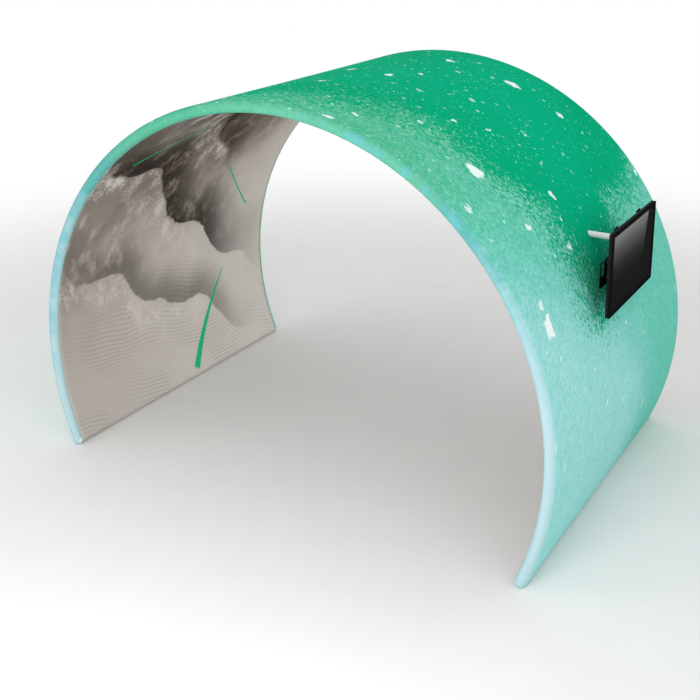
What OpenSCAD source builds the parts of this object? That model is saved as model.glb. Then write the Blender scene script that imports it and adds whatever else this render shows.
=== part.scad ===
// Fabric display arch: a stretched two-face fabric cover over two hoops of aluminium tube,
// with a flat display held off the right-hand outer face by one arm.
// X runs across the arch, Y from the front hoop to the back hoop, Z up.
// The origin is on the floor, midway between the feet and midway between the hoops.

/* [Arch] */
// Radius of the hoops at the centre of their tube
hoop_r = 1696; // [1400:1:1900]
// Angle from the top of a hoop down to each foot
foot_angle = 112.9; // [100:0.1:120]
// Angle from the top of a hoop to the side cross tubes
side_angle = 57.25; // [50:0.05:65]
// Distance between the two hoops, centre to centre
hoop_gap = 2220; // [1800:1:2600]

/* [Tube frame] */
// Outside diameter of every frame tube
tube_d = 63.5; // [50:0.5:70]
// Wall of the frame tubes
tube_wall = 2; // [1.5:0.1:3]
// Radial clearance of a spigot in its tube
spigot_fit = 0.15; // [0.1:0.05:0.3]
// Wall of a connector's spigot
spigot_wall = 3; // [2:0.5:4]
// Length of a connector's spigot
spigot_len = 80; // [60:1:120]
// Distance from a joint's centre to the end of the tubes that meet there
joint_reach = 46; // [42:1:60]
// Length of the collar that a tube's end stops against
collar_len = 12; // [8:1:14]
// Radius of the neck between a connector's body and its collar
neck_r = 26; // [22:1:28]
// Radius of the ball in the middle of a corner connector
corner_ball_r = 30.5; // [27:0.5:31]
// Bore through a connector
connector_bore_r = 20; // [15:1:23]

/* [Snap buttons and screws] */
// Distance along a spigot from its collar to its button or screw
lock_offset = 40; // [25:1:50]
// Radius of a snap button
button_r = 4.45; // [3:0.05:6]
// Radial clearance of a snap button in its holes
button_fit = 0.05; // [0.02:0.01:0.1]
// Height that a snap button stands above its tube
button_rise = 3; // [2:0.5:4]
// Width of a snap button's spring leaf
leaf_w = 9; // [7:0.5:12]
// Thickness of the spring leaf
leaf_t = 0.8; // [0.5:0.1:1.2]
// Length of the spring leaf
leaf_len = 38; // [25:1:40]
// Thread radius of the frame screws
screw_r = 3; // [2:0.5:4]
// Radial clearance of a screw in its hole
screw_fit = 0.05; // [0.02:0.01:0.2]
// Head radius of the screws and bolts
screw_head_r = 5.5; // [4.5:0.5:7]
// Head height of the screws and bolts
screw_head_h = 3; // [2:0.5:4]
// Thread length of the frame screws
screw_len = 12; // [8:1:16]

/* [Fabric cover] */
// Thickness of the fabric
fabric_t = 1; // [0.6:0.1:1.5]
// Gap between the fabric and the tubes
fabric_gap = 0.35; // [0.3:0.05:1]
// Depth that the cover is flattened where it stands on the floor
floor_flat = 0.5; // [0.3:0.1:0.8]
// Gap around the arm where it goes through the fabric
arm_hole_gap = 0.8; // [0.4:0.1:3]
// Width of the sewn seam at each foot of the outer panel
seam_w = 10; // [4:1:20]
// Extra thickness of the seam on each face
seam_lap = 0.15; // [0.05:0.05:0.3]

/* [Zipper] */
// Distance up the wall from the foot tube's centre to the zipper
zip_height = 54; // [50:1:90]
// Clear length between the zipper's ends and the hoops' centres
zip_end_gap = 90; // [60:1:200]
// Width of the slit that the zipper closes
slit_w = 8; // [7:0.5:10]
// Width of each zipper tape
tape_w = 13; // [10:1:16]
// Thickness of each zipper tape
tape_t = 0.8; // [0.5:0.1:1]
// Width of each row of teeth
teeth_w = 2.4; // [2:0.1:3]
// Height of each row of teeth
teeth_h = 2.4; // [2.2:0.1:3]
// Gap between the two rows of teeth
teeth_gap = 1.2; // [1:0.1:1.6]
// Thickness of the slider's divider, between the rows
divider_t = 0.7; // [0.5:0.1:0.8]
// Length of the slider
slider_len = 16; // [12:1:22]
// Width of the slider's front plate
slider_w = 11; // [9:0.5:12]
// Thickness of the slider's plates
slider_t = 1.4; // [1:0.1:2]
// Running gap between the slider and the teeth
slider_gap = 0.3; // [0.2:0.05:0.5]
// Length of the pull
pull_len = 34; // [25:1:50]
// Width of the pull
pull_w = 8; // [6:0.5:10]
// Thickness of the pull
pull_t = 1.6; // [1:0.1:2]
// Radius of the pull's pin
pull_pin_r = 1; // [0.8:0.1:1.5]

/* [Display arm] */
// Outside diameter of the arm
arm_d = 35; // [30:1:45]
// Wall of the arm
arm_wall = 2.5; // [2:0.1:4]
// Distance from the centre of the arm's cross tube to the front of the arm's flange
arm_len = 206.6; // [190:0.1:300]
// Thickness of the arm's flange and of the adaptor plate behind the wall plate
flange_t = 5; // [4:1:8]
// Side of the arm's square flange
flange_w = 90; // [80:1:110]
// Hole spacing of the arm's flange
flange_bolts = 62; // [55:1:70]
// Length of the block inside the cross tube that the arm is screwed to
anchor_len = 110; // [90:1:160]
// Radius of the threaded stud in the arm's root
stud_r = 8; // [6:0.5:10]
// Depth of the stud in the arm and in the anchor block
stud_depth = 24; // [18:1:26]

/* [Display mount] */
// Width of the adaptor plate
adaptor_w = 110; // [100:1:160]
// Margin of the adaptor plate past the arm's flange and past the wall plate
adaptor_edge = 14; // [8:1:30]
// Width of the slotted wall plate
plate_w = 640; // [560:1:700]
// Height of the wall plate
plate_h = 144; // [130:1:150]
// Thickness of the wall plate
plate_t = 3; // [2:0.5:4]
// Depth of the wall plate's folded lips
lip = 8; // [6:0.5:10]
// Drop from the arm's centre line to the wall plate's centre
plate_drop = 125; // [120:1:150]
// Distance between the two rails, which is the display's hole spacing
rail_gap = 400; // [300:100:400]
// Width of a tilting rail
rail_w = 50; // [40:1:60]
// Sheet thickness of the rails and their hook brackets
rail_t = 2.5; // [2:0.1:3]
// Length of a tilting rail
rail_len = 430; // [380:1:440]
// Depth of a rail's cheeks
rail_depth = 9; // [7:0.5:10]
// Side gap between a rail and its hook bracket
rail_side_gap = 0.5; // [0.3:0.1:1]
// Radius of the tilt pivot bolts
pivot_r = 4; // [3:0.5:5]
// Radial clearance of the pivot bolts in the rails
pivot_fit = 0.05; // [0.02:0.01:0.1]
// Distance from the wall plate's lips to the pivot
pivot_ahead = 15; // [13:0.5:16]
// Distance from the pivot to the rail's web
pivot_to_web = 14.5; // [14:0.5:16]
// Radius of the tilt knobs
knob_r = 13; // [10:0.5:14]
// Thickness of the tilt knobs
knob_t = 14; // [10:1:18]
// Height between the screws that hold the display
vesa_gap = 200; // [100:100:200]
// Thread radius of the bolts and screws of the mount
vesa_r = 3; // [2.5:0.5:4]

/* [Display] */
// Width of the display
display_w = 776; // [700:1:860]
// Height of the display
display_h = 472; // [430:1:520]
// Height of the display's centre above the wall plate's centre
display_lift = 25; // [0:1:40]
// Thickness of the display at its edge
edge_t = 25; // [22:1:30]
// Depth of the housing that stands out behind the display
bulge_t = 19; // [15:1:25]
// Margin from the display's sides to that housing
bulge_side = 90; // [60:1:110]
// Margin from the display's top and bottom to that housing
bulge_top = 56; // [40:1:60]
// Depth of the bezel
bezel_t = 9; // [7:1:12]
// Width of the bezel's face
bezel_w = 21; // [14:1:30]
// Wall of the back cover
cover_wall = 2.5; // [2:0.1:4]
// Corner radius of the display
corner_r = 9; // [5:1:20]
// Depth of the screen behind the bezel's face
screen_recess = 2; // [1:0.5:4]
// Thickness of the screen
screen_t = 7; // [6:0.5:9]
// Width of the screen's edge that the bezel covers
bezel_lap = 5; // [3:0.5:8]
// Gap between the screen and the bezel round it
screen_gap = 0.3; // [0.2:0.1:0.5]
// Radius of the power button
power_r = 4; // [3:0.5:6]
// Height that the power button stands out of the housing
power_rise = 1.5; // [1.3:0.1:3]
// Width of the power inlet
inlet_w = 27; // [24:1:30]
// Height of the power inlet
inlet_h = 20; // [16:1:22]

/* [Hidden] */
// Facets of a full turn, for small rounds and for the wide sweep of the fabric
round_fn = 96;
sweep_fn = 256;
$fn = round_fn;
FRONT = -1;
BACK = 1;

// Frame
tube_r = tube_d / 2;
tube_in_r = tube_r - tube_wall;
spigot_r = tube_in_r - spigot_fit;
spigot_in_r = spigot_r - spigot_wall;
collar_start = joint_reach - collar_len;
lock_at = joint_reach + lock_offset;

// Cover: the fabric lies round the tubes, and the wall is as thick as one tube with its fabric
skin_in_r = tube_r + fabric_gap;
skin_r = skin_in_r + fabric_t;
foot_z = skin_r - floor_flat;
hoop_z = foot_z - hoop_r * cos(foot_angle);
hoop_y = hoop_gap / 2;
seam_mid_angle = foot_angle - arc_deg(seam_w / 2, hoop_r);
joint_angles = [-foot_angle, -side_angle, 0, side_angle, foot_angle];

// Zipper, in the inner face of the right wall just above its base tube
zip_r = hoop_r - skin_in_r;
zip_angle = foot_angle - arc_deg(zip_height, zip_r);
zip_half = hoop_y - zip_end_gap;
teeth_low_r = zip_r - fabric_t / 2 - teeth_h / 2;
teeth_high_r = teeth_low_r + teeth_h;
pull_pin_lift = pull_pin_r + slider_gap;

// Arm and mount, from the cross tube outwards
arm_r = arm_d / 2;
arm_z = hoop_z + hoop_r * cos(side_angle);
arm_x = hoop_r * sin(side_angle);
arm_reach = arm_x + arm_len;
plate_x = arm_reach + flange_t;
plate_z = arm_z - plate_drop;
display_z = plate_z + display_lift;
adaptor_h = plate_h / 2 + plate_drop + flange_w / 2 + 2 * adaptor_edge;
lip_x = plate_x + plate_t + lip;
bracket_gap = 0.3;
pivot_x = lip_x + pivot_ahead;
web_x = pivot_x + pivot_to_web;
cover_x = web_x + rail_t;
bracket_w = rail_w - 2 * rail_t - 2 * rail_side_gap;
display_x = cover_x + bulge_t;
bezel_x = display_x + edge_t - bezel_t;
rail_top = display_z + display_h / 2 - 8;

// Degrees of arc that a length takes at a radius
function arc_deg(length, radius) = length / radius * 180 / PI;

// Sweeps a profile round the hoops' axis. Its x is the distance from that axis, its y is Y.
module swept(from, to, facets = round_fn) {
    translate([0, 0, hoop_z])
        rotate([90, 0, 0])
            rotate([0, 0, 90 - to])
                rotate_extrude(angle = to - from, $fn = facets)
                    mirror([0, 1]) children();
}

// Draws the front hoop's piece as it is, and the back hoop's as its mirror image
module at_side(side) {
    mirror([0, side > 0 ? 1 : 0, 0]) children();
}

// Puts children at a hoop's centre line: X along the hoop, Z away from the hoop's centre
module at_angle(angle) {
    translate([0, 0, hoop_z]) rotate([0, angle, 0]) translate([0, 0, hoop_r]) children();
}

// Round bar along Y
module bar_y(r, from, to) {
    translate([0, from, 0]) rotate([-90, 0, 0]) cylinder(r = r, h = to - from);
}

// Round bar along X
module bar_x(r, from, to) {
    translate([from, 0, 0]) rotate([0, 90, 0]) cylinder(r = r, h = to - from);
}

// Plate that faces X, drawn as seen from its front: profile x is Y, profile y is Z
module plate_at(x, thickness) {
    translate([x, 0, 0]) rotate([90, 0, 90]) linear_extrude(thickness) children();
}

// Sheet in the XZ plane with its thickness along Y
module cheek_at(y, thickness) {
    translate([0, y + thickness, 0]) rotate([90, 0, 0]) linear_extrude(thickness) children();
}

module round_rect(w, h, r) {
    square([w - 2 * r, h], center = true);
    square([w, h - 2 * r], center = true);
    for (sx = [-1, 1], sy = [-1, 1])
        translate([sx * (w / 2 - r), sy * (h / 2 - r)]) circle(r = r);
}

module slot(length, width) {
    square([length - width, width], center = true);
    for (s = [-1, 1]) translate([s * (length - width) / 2, 0]) circle(d = width);
}

module ring(r_out, r_in) {
    difference() {
        circle(r = r_out, $fn = round_fn);
        circle(r = r_in, $fn = round_fn);
    }
}

// Cover

// The outer panel's section: the outer face and the two rims that wrap the hoops.
// At a seam it is thicker by the lap on both faces.
module outer_section(lap = 0) {
    translate([hoop_r + skin_in_r - lap, -hoop_y]) square([fabric_t + 2 * lap, hoop_gap]);
    for (side = [FRONT, BACK])
        translate([hoop_r, side * hoop_y])
            difference() {
                ring(skin_r + lap, skin_in_r - lap);
                translate([-skin_r - 1, side > 0 ? -skin_r - 1 : 0])
                    square([2 * skin_r + 2, skin_r + 1]);
            }
}

// Half capsule of fabric that closes the right wall round its base tube
module foot_wrap() {
    at_angle(foot_angle)
        rotate([90, 0, 0])
            rotate([0, 0, -90])
                rotate_extrude(angle = 180) {
                    translate([skin_in_r, -hoop_y]) square([fabric_t, hoop_gap]);
                    for (end = [FRONT, BACK])
                        translate([0, end * hoop_y])
                            intersection() {
                                ring(skin_r, skin_in_r);
                                translate([0, end > 0 ? 0 : -skin_r - 1])
                                    square([skin_r + 1, skin_r + 1]);
                            }
                }
}

// The end of the cover at the right foot: a sewn seam round the section, and the wrap beyond it
module foot_end() {
    swept(foot_angle - arc_deg(seam_w, hoop_r), foot_angle, sweep_fn) outer_section(seam_lap);
    foot_wrap();
}

module outer_fabric_panel() {
    color([0.10, 0.68, 0.50])
        difference() {
            union() {
                swept(-seam_mid_angle, seam_mid_angle, sweep_fn) outer_section();
                foot_end();
                mirror([1, 0, 0]) foot_end();
            }
            translate([arm_x, 0, arm_z]) bar_x(arm_r + arm_hole_gap, 0, 2 * skin_r);
            translate([-2 * hoop_r, -2 * hoop_y, -2 * skin_r])
                cube([4 * hoop_r, 4 * hoop_y, 2 * skin_r]);
        }
}

module inner_fabric_panel() {
    half_slit = arc_deg(slit_w / 2, zip_r);
    color([0.64, 0.60, 0.56])
        difference() {
            swept(-foot_angle, foot_angle, sweep_fn)
                translate([hoop_r - skin_r, -hoop_y]) square([fabric_t, hoop_gap]);
            swept(zip_angle - half_slit, zip_angle + half_slit)
                translate([hoop_r - skin_r - 1, -zip_half])
                    square([fabric_t + 2, 2 * zip_half]);
        }
}

// Zipper

// Strip along the zipper, between two distances from its centre line and two radii
module zip_strip(low, high, r_low, r_high, from, to) {
    swept(zip_angle + arc_deg(low, zip_r), zip_angle + arc_deg(high, zip_r))
        translate([r_low, from]) square([r_high - r_low, to - from]);
}

module zipper_tapes() {
    inner = teeth_gap / 2 + teeth_w;
    color([0.30, 0.29, 0.28])
        for (side = [-1, 1])
            zip_strip(side > 0 ? inner : -inner - tape_w, side > 0 ? inner + tape_w : -inner,
                zip_r, zip_r + tape_t, -zip_half, zip_half);
}

module zipper_teeth() {
    inner = teeth_gap / 2;
    color([0.22, 0.21, 0.20])
        for (side = [-1, 1])
            zip_strip(side > 0 ? inner : -inner - teeth_w, side > 0 ? inner + teeth_w : -inner,
                teeth_low_r, teeth_high_r, -zip_half, zip_half);
}

// The slider's own frame: X down the wall, Y along the zipper, Z away from the hoops' axis.
// It rests at the front end of the zipper.
module at_slider() {
    translate([0, 0, hoop_z]) rotate([0, zip_angle, 0])
        translate([0, -zip_half + slider_len / 2 + 1, 0]) children();
}

module slider_block(w, length, r_low, r_high) {
    translate([-w / 2, -length / 2, r_low]) cube([w, length, r_high - r_low]);
}

module zipper_slider() {
    front_low = teeth_low_r - slider_gap - slider_t;
    back_low = teeth_high_r + slider_gap;
    hub = front_low - pull_pin_lift;
    color([0.45, 0.45, 0.47])
        at_slider() difference() {
            union() {
                slider_block(slider_w, slider_len, front_low, front_low + slider_t);
                slider_block(slider_w - 3, slider_len - 3, back_low, back_low + slider_t);
                slider_block(divider_t, slider_len - 4, front_low + slider_t / 2, back_low + slider_t / 2);
                for (side = [-1, 1])
                    translate([side * (pull_w / 2 + 1.1), 0, 0])
                        slider_block(1.4, 5, hub - 2.2, front_low + slider_t / 2);
            }
            translate([-slider_w, 0, hub]) bar_x(pull_pin_r + 0.06, 0, 2 * slider_w);
        }
}

module zipper_pull() {
    front_low = teeth_low_r - slider_gap - slider_t;
    hub = front_low - pull_pin_lift;
    eye_r = pull_pin_lift - 0.1;
    color([0.50, 0.50, 0.52])
        at_slider() translate([0, 0, hub]) {
            bar_x(pull_pin_r, -pull_w / 2 - 1.7, pull_w / 2 + 1.7);
            bar_x(eye_r, -pull_w / 2 + 0.2, pull_w / 2 - 0.2);
            translate([0, 0, -eye_r])
                linear_extrude(pull_t)
                    difference() {
                        union() {
                            translate([-pull_w / 2 + 0.2, 0]) square([pull_w - 0.4, pull_len - pull_w / 2]);
                            translate([0, pull_len - pull_w / 2]) circle(d = pull_w - 0.4);
                        }
                        translate([0, pull_len - pull_w / 2]) circle(d = pull_w / 2);
                    }
        }
}

// Hoops

// One of a hoop's four curved tubes, numbered from the left foot
module hoop_tube(side, index) {
    from = joint_angles[index];
    to = joint_angles[index + 1];
    trim = arc_deg(joint_reach, hoop_r);
    color([0.78, 0.79, 0.80])
        at_side(side)
            difference() {
                swept(from + trim, to - trim)
                    translate([hoop_r, -hoop_y]) ring(tube_r, tube_in_r);
                for (angle = [from + arc_deg(lock_at, hoop_r), to - arc_deg(lock_at, hoop_r)])
                    at_angle(angle) bar_y(screw_r + screw_fit, -hoop_y, 0);
            }
}

// Snap button hole, out through the side of a cross tube
module button_hole(index, side) {
    at_angle(joint_angles[index])
        translate([0, side * (hoop_y - lock_at), 0])
            rotate([0, 0, index > 2 ? 180 : 0])
                bar_x(button_r + button_fit, 0, tube_r + 1);
}

module cross_tube(index) {
    half = hoop_y - joint_reach;
    color([0.80, 0.81, 0.82])
        difference() {
            at_angle(joint_angles[index])
                difference() {
                    bar_y(tube_r, -half, half);
                    bar_y(tube_in_r, -half - 1, half + 1);
                }
            for (side = [FRONT, BACK]) button_hole(index, side);
            if (index == 3) {
                translate([arm_x, 0, arm_z]) bar_x(stud_r + 0.5, 0, tube_r + 1);
                anchor_screw_places() bar_x(screw_r + screw_fit, 0, tube_r + 1);
            }
        }
}

// Front hoop's connectors

// The branch of a connector towards the other hoop: neck, collar and spigot
module branch(index) {
    at_angle(joint_angles[index])
        translate([0, -hoop_y, 0]) {
            bar_y(neck_r, 0, joint_reach);
            bar_y(tube_r, collar_start, joint_reach);
            bar_y(spigot_r, joint_reach - 1, joint_reach + spigot_len);
        }
}

module branch_bore(index) {
    at_angle(joint_angles[index])
        translate([0, -hoop_y, 0]) {
            bar_y(connector_bore_r, joint_reach / 2, joint_reach + spigot_len + 1);
            bar_y(spigot_in_r, joint_reach, joint_reach + spigot_len + 1);
        }
}

// Solid round along the hoop, from near to far of a joint in one direction
module hoop_round(index, r, near, far, way) {
    low = way > 0 ? near : -far;
    high = way > 0 ? far : -near;
    swept(joint_angles[index] + arc_deg(low, hoop_r), joint_angles[index] + arc_deg(high, hoop_r))
        translate([hoop_r, -hoop_y]) circle(r = r);
}

// Bore of a spigot along the hoop, with its screw hole
module hoop_bore(index, way) {
    hoop_round(index, spigot_in_r, joint_reach, joint_reach + spigot_len + 1, way);
    at_angle(joint_angles[index] + way * arc_deg(lock_at, hoop_r))
        bar_y(screw_r + screw_fit, -hoop_y, 0);
}

module tee(index, side) {
    reach = joint_reach + spigot_len;
    color([0.36, 0.37, 0.39])
        at_side(side)
            difference() {
                union() {
                    hoop_round(index, tube_r, -joint_reach, joint_reach, 1);
                    hoop_round(index, spigot_r, -reach, reach, 1);
                    branch(index);
                }
                hoop_round(index, connector_bore_r - 1, -joint_reach - 1, joint_reach + 1, 1);
                for (way = [-1, 1]) hoop_bore(index, way);
                branch_bore(index);
                button_hole(index, FRONT);
            }
}

module corner(index, side) {
    way = index == 0 ? 1 : -1;
    reach = joint_reach + spigot_len;
    color([0.36, 0.37, 0.39])
        at_side(side)
            difference() {
                union() {
                    at_angle(joint_angles[index])
                        translate([0, -hoop_y, 0]) rotate([0, 0, -90]) sphere(r = corner_ball_r);
                    hoop_round(index, neck_r - 1, 0, joint_reach, way);
                    hoop_round(index, tube_r, collar_start, joint_reach, way);
                    hoop_round(index, spigot_r, joint_reach - 1, reach, way);
                    branch(index);
                }
                hoop_round(index, connector_bore_r - 1, joint_reach / 2, reach + 1, way);
                hoop_bore(index, way);
                branch_bore(index);
                button_hole(index, FRONT);
            }
}

module snap_button(index, side) {
    leaf_x = sqrt(pow(spigot_in_r, 2) - pow(leaf_w / 2, 2)) - 0.3 - leaf_t;
    color([0.62, 0.63, 0.66])
        at_side(side) at_angle(joint_angles[index])
            translate([0, lock_at - hoop_y, 0])
                mirror([index > 2 ? 1 : 0, 0, 0]) {
                    bar_x(button_r, leaf_x, tube_r + button_rise - button_r / 2);
                    translate([tube_r + button_rise - button_r / 2, 0, 0])
                        rotate([0, 90, 0])
                            cylinder(r1 = button_r, r2 = button_r / 2, h = button_r / 2);
                    translate([leaf_x, -leaf_w / 2, -leaf_w / 2])
                        cube([leaf_t, leaf_len, leaf_w]);
                }
}

// A cap screw with its thread along Z, up to the underside of its head at z = 0
module cap_screw(r, head_r, head_h, length) {
    translate([0, 0, -length]) cylinder(r = r, h = length);
    difference() {
        cylinder(r = head_r, h = head_h);
        translate([0, 0, head_h - r / 2]) cylinder(r = r * 0.58, h = r, $fn = 6);
    }
}

module anchor_screw_places() {
    at_angle(side_angle)
        for (end = [-1, 1])
            translate([0, end * anchor_len * 0.36, 0]) rotate([0, 0, 180]) children();
}

// The screws that lock the hoop tubes to their connectors and the anchor block in its tube
module frame_screws() {
    color([0.25, 0.25, 0.27]) {
        for (side = [FRONT, BACK], index = [0:3], end = [0, 1])
            at_angle(joint_angles[index + end] + (end == 0 ? 1 : -1) * arc_deg(lock_at, hoop_r))
                translate([0, side * (hoop_y - tube_r), 0])
                    rotate([side > 0 ? 90 : -90, 0, 0])
                        cap_screw(screw_r, screw_head_r, screw_head_h, screw_len);
        anchor_screw_places()
            translate([tube_r, 0, 0]) rotate([0, 90, 0])
                cap_screw(screw_r, screw_head_r, screw_head_h, screw_len);
    }
}

// Display arm

module arm_anchor_block() {
    color([0.55, 0.56, 0.58])
        difference() {
            at_angle(side_angle) bar_y(spigot_r, -anchor_len / 2, anchor_len / 2);
            translate([arm_x, 0, arm_z])
                bar_x(stud_r + screw_fit, tube_r - stud_depth - 6, tube_r);
            anchor_screw_places() bar_x(screw_r + screw_fit, tube_r - screw_len - 4, tube_r);
        }
}

module arm_stud() {
    color([0.60, 0.60, 0.62])
        translate([arm_x, 0, arm_z])
            bar_x(stud_r, tube_r - stud_depth, tube_r + stud_depth);
}

// The arm's root is cut to sit round the cross tube, and its far end carries a square flange
module mount_arm() {
    plug_len = stud_depth + 8;
    color([0.88, 0.88, 0.87])
        difference() {
            union() {
                translate([0, 0, arm_z])
                    difference() {
                        bar_x(arm_r, arm_x + tube_r / 2, arm_reach);
                        bar_x(arm_r - arm_wall, arm_x + tube_r + plug_len, arm_reach + 1);
                    }
                translate([0, 0, arm_z])
                    plate_at(arm_reach - flange_t, flange_t) round_rect(flange_w, flange_w, 6);
            }
            at_angle(side_angle) bar_y(tube_r + 0.3, -arm_d, arm_d);
            translate([arm_x, 0, arm_z]) bar_x(stud_r + screw_fit, 0, tube_r + stud_depth + 2);
            translate([0, 0, arm_z]) flange_bolt_places()
                bar_x(vesa_r + screw_fit, arm_reach - flange_t - 1, arm_reach + 1);
        }
}

module flange_bolt_places() {
    for (sy = [-1, 1], sz = [-1, 1])
        translate([0, sy * flange_bolts / 2, sz * flange_bolts / 2]) children();
}

module plate_bolt_places() {
    for (sy = [-1, 1], sz = [-1, 1])
        translate([0, sy * adaptor_w * 0.32, sz * plate_h * 0.22]) children();
}

module adaptor_plate() {
    low = plate_z - plate_h / 2 - adaptor_edge;
    color([0.10, 0.10, 0.11])
        difference() {
            translate([0, 0, low + adaptor_h / 2])
                plate_at(arm_reach, flange_t) round_rect(adaptor_w, adaptor_h, 10);
            translate([0, 0, arm_z]) flange_bolt_places()
                bar_x(vesa_r + screw_fit, arm_reach - 1, plate_x + 1);
            translate([0, 0, plate_z]) plate_bolt_places()
                bar_x(vesa_r + screw_fit, arm_reach - 1, plate_x + 1);
        }
}

// Bolts with a head on one side and a nut on the other, through a stack of plates along X
module stack_bolt(from, to) {
    translate([to, 0, 0]) rotate([0, 90, 0]) cap_screw(vesa_r, screw_head_r, screw_head_h, to - from + 6);
    translate([from - 5, 0, 0]) rotate([0, 90, 0])
        difference() {
            cylinder(r = 5.8, h = 5, $fn = 6);
            translate([0, 0, -1]) cylinder(r = vesa_r + screw_fit, h = 7);
        }
}

module adaptor_bolts() {
    color([0.32, 0.32, 0.34]) {
        translate([0, 0, arm_z]) flange_bolt_places() stack_bolt(arm_reach - flange_t, plate_x);
        translate([0, 0, plate_z]) plate_bolt_places()
            stack_bolt(arm_reach, plate_x + plate_t);
    }
}

// Display mount

module wall_plate() {
    lip_y = plate_h / 2 - plate_t;
    slot_step = 56;
    end_column = plate_w / 2 - 22;
    color([0.09, 0.09, 0.10])
        translate([0, 0, plate_z])
            difference() {
                union() {
                    plate_at(plate_x, plate_t) round_rect(plate_w, plate_h, 3);
                    for (low = [-plate_h / 2, lip_y])
                        translate([plate_x, -plate_w / 2 + 3, low])
                            cube([plate_t + lip, plate_w - 6, plate_t]);
                }
                plate_at(plate_x - 1, plate_t + 2) {
                    for (side = [-1, 1], row = [-1, 1], i = [0:2])
                        translate([side * (90 + i * slot_step), row * plate_h * 0.3])
                            slot(40, 9);
                    for (side = [-1, 1]) {
                        translate([side * end_column, plate_h * 0.29]) rotate(90) slot(28, 9);
                        translate([side * end_column, plate_h * 0.06]) rotate(90) slot(28, 9);
                        translate([side * end_column, -plate_h * 0.14]) circle(r = 3.5);
                    }
                }
                plate_bolt_places() bar_x(vesa_r + screw_fit, plate_x - 1, plate_x + plate_t + 1);
            }
}

// Bracket that hangs over the wall plate's top lip and carries a rail's pivot
module hook_bracket(side) {
    back = lip_x + bracket_gap;
    hook_back = plate_x - bracket_gap - rail_t;
    top = plate_z + plate_h / 2 + bracket_gap;
    half = plate_h / 2 - 12;
    color([0.12, 0.12, 0.13])
        translate([0, side * rail_gap / 2, 0])
            difference() {
                union() {
                    translate([back, -bracket_w / 2, plate_z - half])
                        cube([rail_t, bracket_w, top + rail_t - plate_z + half]);
                    translate([hook_back, -bracket_w / 2, top])
                        cube([back + rail_t - hook_back, bracket_w, rail_t]);
                    translate([hook_back, -bracket_w / 2, top - 14])
                        cube([rail_t, bracket_w, 14 + rail_t]);
                    for (edge = [-bracket_w / 2, bracket_w / 2 - rail_t])
                        cheek_at(edge, rail_t) {
                            polygon([
                                [back, plate_z + half], [back + 6, plate_z + half],
                                [pivot_x + 3, plate_z + 9], [pivot_x + 3, plate_z - 9],
                                [back + 6, plate_z - half], [back, plate_z - half]
                            ]);
                            translate([pivot_x, plate_z]) circle(r = 9);
                        }
                }
                translate([pivot_x, 0, plate_z])
                    bar_y(pivot_r + pivot_fit, -bracket_w, bracket_w);
            }
}

// Channel bolted to the display's back, with an ear on each cheek for the pivot
module tilt_rail(side) {
    low = rail_top - rail_len;
    ear_r = 10;
    slot_step = 40;
    color([0.12, 0.12, 0.13])
        translate([0, side * rail_gap / 2, 0])
            difference() {
                union() {
                    translate([0, 0, low + rail_len / 2])
                        plate_at(web_x, rail_t) round_rect(rail_w, rail_len, 4);
                    for (edge = [-rail_w / 2, rail_w / 2 - rail_t])
                        cheek_at(edge, rail_t) {
                            translate([cover_x - rail_depth, low + 4]) square([rail_depth, rail_len - 8]);
                            translate([pivot_x, plate_z - ear_r]) square([cover_x - pivot_x, 2 * ear_r]);
                            translate([pivot_x, plate_z]) circle(r = ear_r);
                        }
                }
                translate([pivot_x, 0, plate_z]) bar_y(pivot_r + pivot_fit, -rail_w, rail_w);
                for (end = [-1, 1])
                    translate([0, 0, display_z + end * vesa_gap / 2])
                        bar_x(vesa_r + screw_fit, web_x - 1, cover_x + 1);
                for (i = [0:floor((rail_len - 60) / slot_step)])
                    if (min([for (end = [-1, 1])
                        abs(rail_top - 30 - i * slot_step - display_z - end * vesa_gap / 2)]) > 20)
                        translate([0, 0, rail_top - 30 - i * slot_step])
                            plate_at(web_x - 1, rail_t + 2) rotate(90) slot(26, 9);
            }
}

// Hex bolts through both ears of each rail, with a free end for the knob
module tilt_pivot_bolts() {
    head_t = 5;
    inner = rail_gap / 2 - rail_w / 2 - bracket_gap;
    outer = rail_gap / 2 + rail_w / 2 + bracket_gap + knob_t - 3;
    color([0.60, 0.60, 0.62])
        for (side = [FRONT, BACK])
            mirror([0, side > 0 ? 0 : 1, 0])
                translate([pivot_x, 0, plate_z]) {
                    bar_y(pivot_r, inner - 1, outer);
                    translate([0, inner - head_t, 0])
                        rotate([-90, 0, 0]) cylinder(r = 7, h = head_t, $fn = 6);
                }
}

// Lobed knob on the outer end of a pivot bolt
module tilt_knob(side) {
    near = rail_gap / 2 + rail_w / 2 + bracket_gap;
    lobe_r = 3.2;
    hub_r = knob_r - 4;
    color([0.07, 0.07, 0.08])
        mirror([0, side > 0 ? 0 : 1, 0])
            translate([pivot_x, 0, plate_z])
                difference() {
                    union() {
                        bar_y(hub_r, near, near + knob_t);
                        translate([0, near + 4, 0])
                            rotate([-90, 0, 0])
                                linear_extrude(knob_t - 5) {
                                    circle(r = knob_r - 2);
                                    for (i = [0:5])
                                        rotate(i * 60) translate([knob_r - lobe_r, 0]) circle(r = lobe_r);
                                }
                    }
                    bar_y(pivot_r + pivot_fit, near - 1, near + knob_t - 2);
                }
}

module vesa_places() {
    for (side = [-1, 1], end = [-1, 1])
        translate([0, side * rail_gap / 2, display_z + end * vesa_gap / 2]) children();
}

module vesa_screws() {
    color([0.32, 0.32, 0.34])
        vesa_places()
            translate([web_x, 0, 0]) rotate([0, -90, 0])
                cap_screw(vesa_r, screw_head_r, screw_head_h, rail_t + 10);
}

// Display

module display_outline(inset) {
    round_rect(display_w - 2 * inset, display_h - 2 * inset, corner_r - min(inset, corner_r - 2));
}

module bulge_outline(inset) {
    round_rect(display_w - 2 * (bulge_side + inset), display_h - 2 * (bulge_top + inset), 24 - inset);
}

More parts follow.
